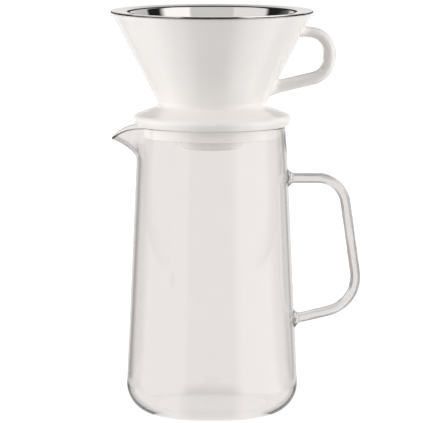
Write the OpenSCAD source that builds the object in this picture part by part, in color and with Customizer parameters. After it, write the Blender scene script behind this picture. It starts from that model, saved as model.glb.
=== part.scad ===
// Pour-over coffee brewer: a tapered glass carafe with a fused rod handle, a porcelain dripper that
// stands in its mouth, and a steel filter that hangs in the dripper. Millimetres, +Z up. The origin is
// the centre of the carafe's base, the handles point to +X and the spout to -X.

/* [Carafe] */
// Height of the carafe's rim above the table
carafe_h = 173.5; // [150:0.5:200]
// Outer diameter that the tapered wall has at table height
base_d = 104; // [92:0.5:120]
// Outer diameter of the wall at the rim
mouth_d = 88.4; // [78:0.1:100]
// Thickness of the glass wall
glass_wall = 2.2; // [1.6:0.1:3]
// Thickness of the glass floor
floor_t = 3.2; // [2:0.1:6]
// Outer radius of the corner between floor and wall
base_corner_r = 18; // [8:0.5:24]
// Extra thickness of the fire-polished bead along the rim
rim_swell = 0.6; // [0.2:0.1:1.4]

/* [Spout] */
// How far the pulled lip reaches out beyond the rim
spout_reach = 16; // [8:0.2:22]
// Angle of the rim that the lip is pulled from
spout_spread = 64; // [50:1:110]
// Height of the wall that the lip is pulled from
spout_depth = 21; // [14:0.5:30]
// How far the tip of the lip dips below the rim
spout_drop = 6.9; // [0:0.1:9]

/* [Carafe handle] */
// Diameter of the solid glass rod
rod_d = 6.1; // [5:0.1:9]
// Depth of the upper joint below the carafe's rim
upper_joint_drop = 31.5; // [20:0.5:45]
// Height of the lower joint on the wall
lower_joint_z = 56.8; // [40:0.2:72]
// Reach of the upper corner from the wall
upper_reach = 32.4; // [26:0.2:44]
// Reach of the lower corner from the wall
lower_reach = 39.6; // [32:0.2:52]
// Rise of the lower arm from its joint to its corner
lower_rise = 9.3; // [2:0.1:16]
// Radius of the upper bend along the rod's middle
upper_bend_r = 17; // [8:0.5:20]
// Radius of the lower bend along the rod's middle
lower_bend_r = 21.4; // [12:0.2:26]
// Diameter of the flare where the rod is fused to the wall
flare_d = 13.8; // [11:0.2:18]
// Length of the flare along the rod
flare_l = 3.8; // [2:0.1:7]

/* [Dripper] */
// Height of the dripper's rim above the carafe's rim
dripper_h = 68; // [62:0.5:84]
// Outer diameter of the dripper's rim
dripper_d = 118.1; // [106:0.1:130]
// Slope of the cone's wall from upright, in degrees
cone_angle = 27; // [24:0.5:30]
// Thickness of the porcelain wall
porcelain_wall = 4; // [3:0.1:5]
// Radius of the rounded edges of the rim
rim_edge_r = 1.2; // [0.6:0.1:1.6]
// Outer diameter at the end of the cone, before its edge is rounded
foot_d = 35.5; // [30:0.5:44]
// Radius of the rounded edge of the foot
foot_edge_r = 2; // [0.5:0.1:3.5]
// Thickness of the floor at the drain
drain_floor_t = 4; // [3:0.1:6]
// Fall of the floor towards the drain, in degrees
floor_fall = 12; // [4:1:20]
// Diameter of the drain hole
drain_d = 18; // [12:0.5:20]

/* [Saucer] */
// How far the saucer's edge stands out over the carafe's rim
saucer_overhang = 3; // [2:0.1:8]
// Height from the saucer's seat to its neck
saucer_h = 12; // [10:0.1:17]
// Height of the saucer's widest edge above its seat
saucer_edge_h = 3.8; // [2.5:0.1:6]
// How far the edge tucks in again towards the seat
saucer_tuck = 1.9; // [0.5:0.1:2.5]
// Radius of the round shoulder between the saucer's edge and its sloping top
shoulder_r = 3.4; // [2:0.1:5]
// Thickness of the saucer's web
saucer_t = 4.5; // [3:0.1:6]
// Size of the fillet between the saucer and the cone
neck_fillet = 3.6; // [2:0.1:7]
// Depth of the centring skirt below the carafe's rim
skirt_depth = 7; // [3:0.5:10]
// Thickness of the skirt
skirt_wall = 3.5; // [2.5:0.1:5]

/* [Dripper handle] */
// Thickness of the strap
strap_t = 7.4; // [5:0.1:8.5]
// Width of the strap
strap_w = 11; // [8:0.2:15]
// Depth of the strap's upper corner below the dripper's rim
strap_drop = 13.3; // [9:0.1:17]
// Height between the strap's corners
strap_span = 23.9; // [22:0.1:28]
// Reach of the strap's middle from the cone, at the upper corner
strap_reach = 17.2; // [14:0.2:24]
// Fall of the upper arm away from the cone, in degrees
strap_upper_fall = 6.7; // [0:0.1:12]
// Rise of the lower arm away from the cone, in degrees
strap_lower_rise = 13.5; // [0:0.5:25]
// Radius of the upper bend along the strap's middle
strap_upper_bend_r = 12; // [6:0.5:13]
// Radius of the lower bend along the strap's middle
strap_lower_bend_r = 12.5; // [6:0.5:13]

/* [Filter] */
// How far the flange overhangs the dripper's rim
flange_overhang = 1.3; // [0.5:0.1:4]
// Thickness of the rim's sheet
rim_sheet = 0.8; // [0.5:0.1:1.2]
// Depth of the plain collar under the flange
collar_h = 10; // [6:0.5:16]
// Length over which the collar covers the top of the cone
collar_lap = 6; // [3:0.5:8]
// Thickness of the slotted sheet
cone_sheet = 0.6; // [0.4:0.1:1]
// Thickness of the woven mesh
mesh_t = 0.4; // [0.2:0.1:0.8]
// Width of one slot in the support cone
slot_w = 1.8; // [1:0.1:3]
// Height of one slot
slot_h = 7.5; // [4:0.5:12]
// Distance between the middles of neighbouring slots in a row
slot_pitch = 5; // [4:0.1:8]
// Height of the plain band between two rows of slots
slot_band = 2.2; // [1.5:0.1:4]
// Height of the bottom cup's wall
cup_h = 7; // [4:0.5:12]
// Thickness of the bottom cup's sheet
cup_sheet = 0.8; // [0.5:0.1:1.2]

/* [Clearances] */
// Gap between pieces that rest on each other and lift off
rest_gap = 0.2; // [0.1:0.05:0.5]
// Gap round the skirt inside the mouth
skirt_gap = 0.7; // [0.4:0.1:2]
// Gap between the filter's cup and the dripper's wall, for the coffee to run down
filter_gap = 2.85; // [1.5:0.05:5]
// Height of the filter's cup above the dripper's floor, one filter gap in from the floor's corner
cup_clear = 3; // [1:0.1:8]
// Gap in a joint that is fused, luted or pressed
joint_gap = 0.05; // [0.02:0.01:0.1]

/* [Hidden] */
$fn = 96;
$swell = 0;

glass_tint = [0.83, 0.85, 0.84, 0.45];
porcelain_white = [0.95, 0.94, 0.93];
polished_steel = [0.78, 0.79, 0.80];
mesh_grey = [0.58, 0.58, 0.60];

// How far a cutting shape runs past what it cuts
overrun = 2;

// Carafe wall: a straight taper from base_d to mouth_d
taper = (base_d - mouth_d) / 2 / carafe_h;
lean = atan(taper);
function wall_r(z) = base_d / 2 - taper * z;
function wall_mid_r(z) = wall_r(z) - glass_wall / 2 / cos(lean);
bead_r = (glass_wall + rim_swell) / 2;
bead_z = carafe_h - bead_r;
mouth_r = wall_mid_r(bead_z) - bead_r;

// Spout: the window that it takes in the wall, its lap into the wall round that, and its curves
spout_half = spout_spread / 2;
seam_angle = 2;
seam_drop = 2;
seam_lap = 1;
seam_lap_angle = 1;
window_half = spout_half + seam_angle;
patch_half = window_half + seam_lap_angle;
lip_z = carafe_h - spout_depth;
window_z = lip_z - seam_drop;
patch_inset = 0.06;
lip_curl = 2;
lip_dip = 2.7;
patch_columns = 30;
patch_rows = 9;
row_bias = 1.35;
bead_steps = 4;
bead_end = 78;

// Carafe handle: corners of the rod's middle line, as [x, z]
upper_joint_z = carafe_h - upper_joint_drop;
rod_upper = [wall_r(upper_joint_z) + upper_reach, upper_joint_z];
rod_lower = [wall_r(lower_joint_z + lower_rise) + lower_reach, lower_joint_z + lower_rise];
rod_upper_end = [wall_r(upper_joint_z), upper_joint_z];
rod_lower_end = [wall_r(lower_joint_z), lower_joint_z];
flare_steps = 8;
flare_power = 2.2;
flare_sink = 0.15;

// Lap of a straight bar into a bend, and how much thicker the bend is so that it holds the lap
bend_lap = 0.4;
bend_swell = 0.02;

// Dripper: heights, and the cone's outer and inner wall
seat_z = carafe_h + rest_gap;
neck_z = seat_z + saucer_h;
dripper_top = carafe_h + dripper_h;
edge_z = dripper_top - rim_edge_r;
slope = tan(cone_angle);
edge_run = rim_edge_r / cos(cone_angle);
function cone_r(z) = dripper_d / 2 - rim_edge_r + edge_run + slope * (z - edge_z);
function cone_in_r(z) = cone_r(z) - porcelain_wall / cos(cone_angle);
neck_r = cone_r(neck_z);
foot_z = edge_z - (cone_r(edge_z) - foot_d / 2) / slope;
edge_steps = 6;

// Dripper floor: its inner line falls from the cone's wall to the drain
floor_slope = tan(floor_fall);
function floor_in_z(r) = foot_z + drain_floor_t + floor_slope * (r - drain_d / 2);
floor_meet_r = cone_in_r(floor_in_z(0)) / (1 - slope * floor_slope);

// Saucer: radii of its edge, foot and skirt, and its top, which slopes from the neck to the shoulder
saucer_r = mouth_d / 2 + saucer_overhang;
saucer_foot_r = saucer_r - saucer_tuck;
saucer_edge_z = seat_z + saucer_edge_h;
skirt_r = mouth_r - skirt_gap;
skirt_in_r = skirt_r - skirt_wall;
skirt_end_z = carafe_h - skirt_depth;
shoulder_mid = [saucer_r - shoulder_r, saucer_edge_z];
shoulder_run = [neck_r, neck_z] - shoulder_mid;
shoulder_turn = atan2(shoulder_run[1], shoulder_run[0]) - acos(shoulder_r / norm(shoulder_run));
shoulder_steps = 8;
fillet_steps = 6;
fillet_edge = 0.15;
function saucer_top_z(r) = neck_z - (r - neck_r) / tan(shoulder_turn);

// Dripper handle: corners of the strap's middle line, as [x, z]
strap_upper_z = dripper_top - strap_drop;
strap_lower_z = strap_upper_z - strap_span;
strap_x = cone_r(strap_upper_z) + strap_reach;
strap_lower_run = (strap_x - cone_r(strap_lower_z)) / (1 - slope * tan(strap_lower_rise));
strap_upper_run = strap_reach + porcelain_wall;
strap_round = 2.6;
strap_sides = 28;

// Filter: the nested layers of its cone, each a distance d outside the collar's outer face
mesh_d = joint_gap;
sheet_d = mesh_d + mesh_t + joint_gap;
cup_d = sheet_d + cone_sheet + joint_gap;
cup_out_d = cup_d + cup_sheet;
function layer_r(z, d) = cone_in_r(z) - (filter_gap + cup_out_d - d) / cos(cone_angle);

// Filter: heights, from the flange on the dripper's rim down to the cup above the dripper's floor
flange_z = dripper_top + rest_gap;
flange_top_z = flange_z + rim_sheet;
flange_r = dripper_d / 2 + flange_overhang;
collar_end_z = flange_z - collar_h;
lap_top_z = collar_end_z + collar_lap;
cup_end_z = floor_in_z(floor_meet_r - filter_gap / cos(cone_angle)) + cup_clear;
filter_floor_z = cup_end_z + cup_sheet;
layer_end_z = filter_floor_z + joint_gap;

// Staggered rows of slots between the cup and the collar
slot_low_z = filter_floor_z + cup_h + slot_band;
slot_rows = floor((collar_end_z - slot_low_z) / (slot_h + slot_band));

// Points of an arc about c from angle a0 to a1
function arc(c, r, a0, a1, steps) =
    [for (i = [0:steps]) let (a = a0 + (a1 - a0) * i / steps) c + r * [cos(a), sin(a)]];

// Points of a curve that leaves a towards b and arrives at c
function curve(a, b, c, steps) =
    [for (i = [0:steps]) let (t = i / steps) (1 - t) * (1 - t) * a + 2 * t * (1 - t) * b + t * t * c];

function unit(v) = v / norm(v);

// Half section of a round vessel: a flat floor, a rounded corner and the tapered wall moved in by inset
module vessel_half(inset, floor_z, corner_r, top_z) {
    function side_r(z) = wall_r(z) - inset / cos(lean);
    corner_z = floor_z + corner_r;
    corner_x = side_r(corner_z) - corner_r / cos(lean);
    tangent = [corner_x + corner_r * cos(lean), corner_z + corner_r * sin(lean)];
    polygon([[0, floor_z], [corner_x, floor_z], tangent, [side_r(top_z), top_z], [0, top_z]]);
    translate([corner_x, corner_z]) circle(r = corner_r);
}

// Lip of the spout at angle a from its middle line: how far it is pulled, and its height
function lip_pull(a) = abs(a) < spout_half ? pow(cos(90 * a / spout_half), 2) : 0;
function lip_top_z(a) = bead_z - spout_drop * pow(lip_pull(a), lip_dip);
function lip_share(a, z) = max(0, (z - lip_z) / (lip_top_z(a) - lip_z));
function lip_mid(a, z) =
    [wall_mid_r(z) + spout_reach * lip_pull(a) * pow(lip_share(a, z), lip_curl), z];
function lip_along(a, z) =
    unit([spout_reach * lip_pull(a) * lip_curl * pow(lip_share(a, z), lip_curl - 1)
          / (lip_top_z(a) - lip_z) - taper, 1]);

// One face of the lip at angle a, as [r, z] points from below up round the bead.
// Side is 1 for the outer face and -1 for the inner one.
function lip_face(a, side) =
    let (
        low = window_z - seam_lap,
        top = lip_top_z(a),
        half = glass_wall / 2 - patch_inset,
        round_r = bead_r - patch_inset,
        bead_start = -acos(half / round_r),
        up = lip_along(a, top),
        across = side * [up[1], -up[0]]
    )
    concat(
        [for (i = [0:patch_rows - 1])
            let (
                z = low + (top - low) * (1 - pow(1 - i / patch_rows, row_bias)),
                along = lip_along(a, z)
            )
            lip_mid(a, z) + side * half * [along[1], -along[0]]],
        [for (i = [0:bead_steps])
            let (b = bead_start + (bead_end - bead_start) * i / bead_steps)
            lip_mid(a, top) + round_r * (cos(b) * across + sin(b) * up)]
    );

// Wall of the spout as one closed patch that laps into the carafe's wall on three sides
module spout_patch() {
    column_n = patch_rows + bead_steps + 1;
    points = [for (k = [0:patch_columns], side = [1, -1])
        let (a = patch_half * (2 * k / patch_columns - 1))
        for (p = lip_face(a, side)) [p[0] * cos(180 + a), p[0] * sin(180 + a), p[1]]];
    function at(k, side, i) = (2 * k + side) * column_n + i;
    function panel(a, b, c, d) = [[a, b, c], [a, c, d]];
    skins = [for (k = [0:patch_columns - 1], i = [0:column_n - 2])
        each concat(
            panel(at(k, 0, i), at(k, 0, i + 1), at(k + 1, 0, i + 1), at(k + 1, 0, i)),
            panel(at(k, 1, i), at(k + 1, 1, i), at(k + 1, 1, i + 1), at(k, 1, i + 1))
        )];
    edges = [for (k = [0:patch_columns - 1])
        each concat(
            panel(at(k, 0, 0), at(k + 1, 0, 0), at(k + 1, 1, 0), at(k, 1, 0)),
            panel(at(k, 0, column_n - 1), at(k, 1, column_n - 1),
                  at(k + 1, 1, column_n - 1), at(k + 1, 0, column_n - 1))
        )];
    ends = [for (i = [0:column_n - 2])
        each concat(
            panel(at(0, 0, i), at(0, 1, i), at(0, 1, i + 1), at(0, 0, i + 1)),
            panel(at(patch_columns, 0, i), at(patch_columns, 0, i + 1),
                  at(patch_columns, 1, i + 1), at(patch_columns, 1, i))
        )];
    polyhedron(points = points, faces = concat(skins, edges, ends));
}

// Wedge of the wall that the spout takes the place of
module spout_window() {
    reach = base_d;
    translate([0, 0, window_z])
        linear_extrude(carafe_h - window_z + overrun)
            polygon([[0, 0],
                     reach * [-cos(window_half), sin(window_half)],
                     [-2 * reach, 0],
                     reach * [-cos(window_half), -sin(window_half)]]);
}

module carafe_vessel() {
    color(glass_tint)
        union() {
            difference() {
                rotate_extrude()
                    union() {
                        difference() {
                            vessel_half(0, 0, base_corner_r, bead_z);
                            vessel_half(glass_wall, floor_t, base_corner_r - glass_wall, carafe_h + overrun);
                        }
                        translate([wall_mid_r(bead_z), bead_z]) circle(r = bead_r, $fn = 48);
                    }
                spout_window();
            }
            spout_patch();
        }
}

// Straight length of a bar from a to b in the XZ plane, with the bar's section as its child
module straight_bar(a, b) {
    run = b - a;
    translate([a[0], 0, a[1]])
        rotate([0, 90 - atan2(run[1], run[0]), 0])
            linear_extrude(norm(run))
                children();
}

// Bent bar along points in the XZ plane: straight lengths that lap into round bends of the given radii.
// The bar's section is the child, drawn larger by $swell on every side.
module bent_bar(points, radii) {
    last = len(points) - 1;
    function dir(i) = unit(points[i + 1] - points[i]);
    function turn(i) = acos(dir(i - 1) * dir(i));
    function trim(i) = i == 0 || i == last ? 0 : radii[i - 1] * tan(turn(i) / 2);
    function lap(i) = i == 0 || i == last ? 0 : bend_lap;
    for (i = [0:last - 1])
        straight_bar(points[i] + dir(i) * (trim(i) - lap(i)),
                     points[i + 1] - dir(i) * (trim(i + 1) - lap(i + 1)), $swell = 0)
            children();
    for (i = [1:last - 1]) {
        start = points[i] - dir(i - 1) * trim(i);
        inward = unit(dir(i) - dir(i - 1) * cos(turn(i)));
        centre = start + inward * radii[i - 1];
        spin = -inward[1] * dir(i - 1)[0] + inward[0] * dir(i - 1)[1];
        multmatrix([[-inward[0], dir(i - 1)[0], 0, centre[0]],
                    [0, 0, spin, 0],
                    [-inward[1], dir(i - 1)[1], 0, centre[1]],
                    [0, 0, 0, 1]])
            rotate_extrude(angle = turn(i))
                translate([radii[i - 1], 0]) children($swell = bend_swell);
    }
}

// Trumpet-shaped end of the glass rod, from its joint at a towards b
module rod_flare(a, b) {
    run = b - a;
    end_r = rod_d / 2 - flare_sink;
    rim = [for (i = [0:flare_steps]) let (t = i / flare_steps)
        [end_r + (flare_d / 2 - end_r) * pow(1 - t, flare_power), flare_l * t]];
    translate([a[0], 0, a[1]])
        rotate([0, 90 - atan2(run[1], run[0]), 0])
            rotate_extrude()
                polygon(concat([[0, -overrun], [flare_d / 2, -overrun]], rim, [[0, flare_l]]));
}

module carafe_handle() {
    upper_root = rod_upper_end - overrun * unit(rod_upper - rod_upper_end);
    lower_root = rod_lower_end - overrun * unit(rod_lower - rod_lower_end);
    color(glass_tint)
        difference() {
            union() {
                bent_bar([upper_root, rod_upper, rod_lower, lower_root], [upper_bend_r, lower_bend_r])
                    circle(d = rod_d + 2 * $swell);
                rod_flare(rod_upper_end, rod_upper);
                rod_flare(rod_lower_end, rod_lower);
            }
            cylinder(h = carafe_h, r1 = base_d / 2 + joint_gap, r2 = mouth_d / 2 + joint_gap, $fn = 192);
        }
}

module dripper_cone() {
    edge_in_r = cone_in_r(edge_z) + edge_run;
    foot_x = cone_r(foot_z + foot_edge_r) - foot_edge_r / cos(cone_angle);
    foot_edge = arc([foot_x, foot_z + foot_edge_r], foot_edge_r, -90, -cone_angle, edge_steps);
    outer_edge = arc([cone_r(edge_z) - edge_run, edge_z], rim_edge_r, -cone_angle, 90, edge_steps);
    inner_edge = arc([edge_in_r, edge_z], rim_edge_r, 90, 180 - cone_angle, edge_steps);
    inside = [[floor_meet_r, floor_in_z(floor_meet_r)], [drain_d / 2, floor_in_z(drain_d / 2)],
              [drain_d / 2, foot_z]];
    color(porcelain_white)
        rotate_extrude()
            polygon(concat(foot_edge, outer_edge, inner_edge, inside));
}

module dripper_saucer() {
    fillet_z = neck_z + neck_fillet;
    fillet_r = neck_r + neck_fillet;
    web_z = neck_z - saucer_t;
    skirt_web_z = saucer_top_z(skirt_in_r) - saucer_t;
    skirt = [[skirt_in_r, skirt_end_z], [skirt_r, skirt_end_z], [skirt_r, seat_z]];
    foot = [saucer_foot_r, seat_z];
    shoulder = arc(shoulder_mid, shoulder_r, 0, shoulder_turn, shoulder_steps);
    fillet = curve([fillet_r, saucer_top_z(fillet_r)], [neck_r + joint_gap, neck_z],
                   [cone_r(fillet_z) + joint_gap + fillet_edge, fillet_z], fillet_steps);
    bore = [[cone_r(fillet_z) + joint_gap, fillet_z], [cone_r(web_z) + joint_gap, web_z]];
    color(porcelain_white)
        rotate_extrude()
            polygon(concat(skirt, [foot], shoulder, fillet, bore, [[skirt_in_r, skirt_web_z]]));
}

// Section of the strap: a rectangle with fully rounded sides
module strap_section() {
    function swell(c) = sign(c) * pow(abs(c), 2 / strap_round);
    polygon([for (i = [0:strap_sides - 1]) let (a = 360 * (i + 0.5) / strap_sides)
        [(strap_t / 2 + $swell) * swell(cos(a)), (strap_w / 2 + $swell) * swell(sin(a))]]);
}

module dripper_handle() {
    upper = [strap_x, strap_upper_z];
    lower = [strap_x, strap_lower_z];
    lower_run = strap_lower_run + porcelain_wall;
    upper_root = upper + strap_upper_run * [-1, tan(strap_upper_fall)];
    lower_root = lower - lower_run * [1, tan(strap_lower_rise)];
    color(porcelain_white)
        difference() {
            bent_bar([upper_root, upper, lower, lower_root], [strap_upper_bend_r, strap_lower_bend_r])
                strap_section();
            translate([0, 0, neck_z])
                cylinder(h = dripper_top - neck_z, r1 = cone_r(neck_z) + joint_gap,
                         r2 = cone_r(dripper_top) + joint_gap, $fn = 192);
        }
}

// Conical sheet between two heights, t thick, its inner face a distance d outside the collar
module cone_layer(d, t, low_z, high_z) {
    rotate_extrude()
        polygon([[layer_r(low_z, d), low_z], [layer_r(low_z, d + t), low_z],
                 [layer_r(high_z, d + t), high_z], [layer_r(high_z, d), high_z]]);
}

module filter_rim() {
    color(polished_steel)
        rotate_extrude()
            polygon([[layer_r(collar_end_z, -rim_sheet), collar_end_z],
                     [layer_r(collar_end_z, 0), collar_end_z],
                     [layer_r(flange_z, 0), flange_z],
                     [flange_r, flange_z],
                     [flange_r, flange_top_z],
                     [layer_r(flange_top_z, -rim_sheet), flange_top_z]]);
}

module filter_mesh() {
    color(mesh_grey)
        cone_layer(mesh_d, mesh_t, layer_end_z, lap_top_z);
}

module filter_cone() {
    color(polished_steel)
        difference() {
            cone_layer(sheet_d, cone_sheet, layer_end_z, lap_top_z);
            for (row = [0:slot_rows - 1]) {
                z = slot_low_z + row * (slot_h + slot_band);
                near_r = layer_r(z, sheet_d) - overrun;
                far_r = layer_r(z + slot_h, sheet_d + cone_sheet) + overrun;
                row_n = floor(2 * PI * layer_r(z, sheet_d) / slot_pitch);
                for (i = [0:row_n - 1])
                    rotate([0, 0, 360 / row_n * (i + (row % 2) / 2)])
                        translate([near_r, -slot_w / 2, z])
                            cube([far_r - near_r, slot_w, slot_h]);
            }
        }
}

module filter_base() {
    top_z = filter_floor_z + cup_h;
    color(polished_steel)
        rotate_extrude()
            polygon([[0, cup_end_z], [layer_r(cup_end_z, cup_out_d), cup_end_z],
                     [layer_r(top_z, cup_out_d), top_z], [layer_r(top_z, cup_d), top_z],
                     [layer_r(filter_floor_z, cup_d), filter_floor_z], [0, filter_floor_z]]);
}

carafe_vessel();
carafe_handle();
dripper_cone();
dripper_saucer();
dripper_handle();
filter_rim();
filter_cone();
filter_mesh();
filter_base();
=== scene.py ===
"""Pour-over coffee brewer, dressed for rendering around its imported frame.

Each piece of glass, porcelain and steel has its own operator. All sizes are in metres.
"""
from math import acos, atan, atan2, ceil, cos, floor, hypot, pi, radians, sin, tan

import bpy
from bpy.props import FloatProperty, FloatVectorProperty, PointerProperty
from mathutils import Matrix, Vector


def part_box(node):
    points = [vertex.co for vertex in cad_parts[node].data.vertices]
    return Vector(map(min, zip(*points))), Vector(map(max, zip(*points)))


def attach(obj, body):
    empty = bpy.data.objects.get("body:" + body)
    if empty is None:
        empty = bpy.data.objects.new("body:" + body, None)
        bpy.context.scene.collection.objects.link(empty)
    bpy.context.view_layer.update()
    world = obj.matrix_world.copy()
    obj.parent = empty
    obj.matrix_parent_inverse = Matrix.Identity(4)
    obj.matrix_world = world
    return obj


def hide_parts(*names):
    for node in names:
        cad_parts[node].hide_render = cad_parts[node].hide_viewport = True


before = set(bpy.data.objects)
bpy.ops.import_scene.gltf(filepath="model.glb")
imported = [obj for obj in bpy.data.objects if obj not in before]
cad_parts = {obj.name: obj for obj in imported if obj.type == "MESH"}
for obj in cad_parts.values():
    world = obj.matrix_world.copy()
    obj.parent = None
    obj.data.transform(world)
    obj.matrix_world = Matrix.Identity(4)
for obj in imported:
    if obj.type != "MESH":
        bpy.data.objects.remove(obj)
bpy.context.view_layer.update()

bl_info = {
    "name": "Pour-over coffee brewer",
    "version": (1, 0, 0),
    "blender": (4, 5, 0),
    "location": "View3D > Sidebar > Brewer",
    "description": "Glass carafe, porcelain dripper and steel filter of a pour-over coffee brewer",
    "category": "Add Mesh",
}

# How finely the pieces are drawn
COLUMNS = 192
BAR_SIDES = 40
BEND_STEP = radians(6)
POLE_R = 1e-7
SHARP_ANGLE = radians(48)
# Steps in which the end of a bar is brought onto the wall that carries it
WALL_STEPS = 6

# Clear gap in a joint that is fused, luted or pressed
JOINT_GAP = 0.00005


def top_of(node):
    """Height of a node's highest point."""
    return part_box(node)[1].z


def foot_of(node):
    """Height of a node's lowest point."""
    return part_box(node)[0].z


def radius_of(node):
    """Largest radius of a turned node."""
    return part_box(node)[1].y


def length(name, description, default):
    """Property that holds a length."""
    return FloatProperty(name=name, description=description, default=default, min=0, unit="LENGTH",
                         precision=5)


def angle(name, description, default):
    """Property that holds an angle, with its default in degrees."""
    return FloatProperty(name=name, description=description, default=radians(default),
                         subtype="ANGLE", unit="ROTATION")


def level(name, description, default):
    """Property that holds a plain factor, such as a light level."""
    return FloatProperty(name=name, description=description, default=default, min=0, subtype="FACTOR")


def power(name, description, default):
    """Property that holds a lamp's power in watts."""
    return FloatProperty(name=name, description=description, default=default, min=0, unit="POWER")


def colour(name, description, default):
    """Property that holds a linear colour."""
    return FloatVectorProperty(name=name, description=description, default=default, size=3,
                               subtype="COLOR", min=0, max=1)


class CarafeSizes(bpy.types.PropertyGroup):
    """Sizes of the glass carafe and its spout."""
    height: length("Height", "Height of the rim above the table", top_of("carafe_vessel"))
    base_d: length("Base diameter", "Outer diameter of the tapered wall at table height", 0.104)
    mouth_d: length("Mouth diameter", "Outer diameter of the wall at the rim", 0.0884)
    wall: length("Wall", "Thickness of the glass wall", 0.0022)
    floor: length("Floor", "Thickness of the glass floor", 0.0032)
    corner: length("Base corner", "Outer radius of the corner between floor and wall", 0.018)
    lip: length("Lip", "Thickness of the fire-polished rim", 0.0014)
    spout_reach: length("Spout reach", "How far the lip is pulled out beyond the rim", 0.016)
    spout_spread: angle("Spout spread", "Angle of the rim that the lip is pulled from", 64)
    spout_depth: length("Spout depth", "Height of the wall that the lip is pulled from", 0.021)
    spout_drop: length("Spout drop", "How far the tip of the lip dips below the rim", 0.0069)


class RodSizes(bpy.types.PropertyGroup):
    """Sizes of the glass rod that is the carafe's handle."""
    rod_d: length("Diameter", "Diameter of the solid glass rod", 0.0061)
    upper_drop: length("Upper joint", "Depth of the upper joint below the carafe's rim", 0.0315)
    lower_z: length("Lower joint", "Height of the lower joint on the wall", 0.0568)
    upper_reach: length("Upper reach", "Reach of the upper corner from the wall", 0.0324)
    lower_reach: length("Lower reach", "Reach of the lower corner from the wall", 0.0396)
    lower_rise: length("Lower rise", "Rise of the lower arm from its joint to its corner", 0.0093)
    upper_bend: length("Upper bend", "Radius of the upper bend along the rod's middle", 0.017)
    lower_bend: length("Lower bend", "Radius of the lower bend along the rod's middle", 0.0214)
    flare_d: length("Flare diameter", "Diameter of the flare where the rod is fused on", 0.011)
    flare_l: length("Flare length", "Length of the flare along the rod", 0.004)


class DripperSizes(bpy.types.PropertyGroup):
    """Sizes of the porcelain cone and its saucer."""
    rim_d: length("Rim diameter", "Outer diameter of the rim", 2 * radius_of("dripper_cone"))
    lean: angle("Lean", "Slope of the cone's wall from upright", 27)
    wall: length("Wall", "Thickness of the porcelain", 0.004)
    edge: length("Rim edge", "Radius of the rounded edges of the rim", 0.0012)
    foot_edge: length("Foot edge", "Radius of the rounded edge of the foot", 0.002)
    floor: length("Floor", "Thickness of the floor at the drain", 0.004)
    floor_fall: angle("Floor fall", "Fall of the floor towards the drain", 12)
    drain_d: length("Drain", "Diameter of the drain hole", 0.018)
    seat_gap: length("Seat gap", "Gap between the saucer and the carafe's rim", 0.0002)
    neck_h: length("Neck height", "Height from the saucer's seat to its neck", 0.012)
    edge_h: length("Edge height", "Height of the saucer's widest edge above its seat", 0.0038)
    tuck: length("Tuck", "How far the saucer's edge tucks in towards the seat", 0.0019)
    shoulder: length("Shoulder", "Radius of the shoulder between the saucer's edge and its top", 0.0034)
    web: length("Web", "Thickness of the saucer's web", 0.0045)
    fillet: length("Neck fillet", "Size of the fillet between the saucer and the cone", 0.0036)
    skirt_r: length("Skirt radius", "Outer radius of the centring skirt", 0.04106)
    skirt_wall: length("Skirt wall", "Thickness of the centring skirt", 0.0035)


class StrapSizes(bpy.types.PropertyGroup):
    """Sizes of the porcelain strap that is the dripper's handle."""
    thick: length("Thickness", "Thickness of the strap", 0.0076)
    wide: length("Width", "Width of the strap", 0.011)
    drop: length("Drop", "Depth of the upper corner below the dripper's rim", 0.0133)
    span: length("Span", "Height between the strap's corners", 0.0239)
    reach: length("Reach", "Reach of the strap's middle from the cone", 0.0172)
    upper_fall: angle("Upper fall", "Fall of the upper arm away from the cone", 6.7)
    lower_rise: angle("Lower rise", "Rise of the lower arm away from the cone", 13.5)
    upper_bend: length("Upper bend", "Radius of the upper bend along the strap's middle", 0.012)
    lower_bend: length("Lower bend", "Radius of the lower bend along the strap's middle", 0.0125)
    root_l: length("Root", "Length over which the strap spreads onto the cone", 0.005)
    thin: level("Thinning", "How much thinner the strap is at its upper end", 0.26)


class FilterSizes(bpy.types.PropertyGroup):
    """Sizes of the steel filter."""
    rim_sheet: length("Rim sheet", "Thickness of the flange and the collar", 0.0008)
    rim_bend: length("Rim bend", "Radius of the bend between flange and collar", 0.0006)
    flat: length("Flat", "Width of the flange's flat outer part", 0.0034)
    hem: length("Hem", "Width and depth of the flange's turned-down edge", 0.0003)
    dish: angle("Dish", "Fall of the flange's inner part", 5)
    cone_sheet: length("Cone sheet", "Thickness of the slotted sheet", 0.0006)
    mesh_t: length("Mesh", "Thickness of the woven mesh", 0.0004)
    slot_w: length("Slot width", "Width of one slot", 0.0018)
    slot_h: length("Slot height", "Height of one slot", 0.0075)
    slot_pitch: length("Slot pitch", "Distance between neighbouring slots", 0.005)
    slot_band: length("Slot band", "Plain band between two rows of slots", 0.0022)
    cup_sheet: length("Cup sheet", "Thickness of the bottom cup", 0.0008)
    cup_corner: length("Cup corner", "Outer radius of the cup's corner", 0.002)
    weave: length("Weave", "Distance between neighbouring wires of the mesh", 0.0007)


class FinishColours(bpy.types.PropertyGroup):
    """Colours of the materials."""
    glass: colour("Glass", "Tint of the clear glass", (0.97, 0.958, 0.953))
    rod: colour("Rod", "Tint of the solid glass rod", (0.9, 0.895, 0.89))
    porcelain: colour("Porcelain", "Glazed porcelain", (0.9, 0.885, 0.87))
    biscuit: colour("Biscuit", "Bare porcelain where it is wiped free of glaze", (0.78, 0.76, 0.73))
    polished: colour("Polished steel", "Mirror-polished steel", (0.76, 0.755, 0.745))
    satin: colour("Satin steel", "Satin steel sheet", (0.66, 0.655, 0.65))
    wire: colour("Wire", "Drawn steel wire", (0.56, 0.555, 0.55))


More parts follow.
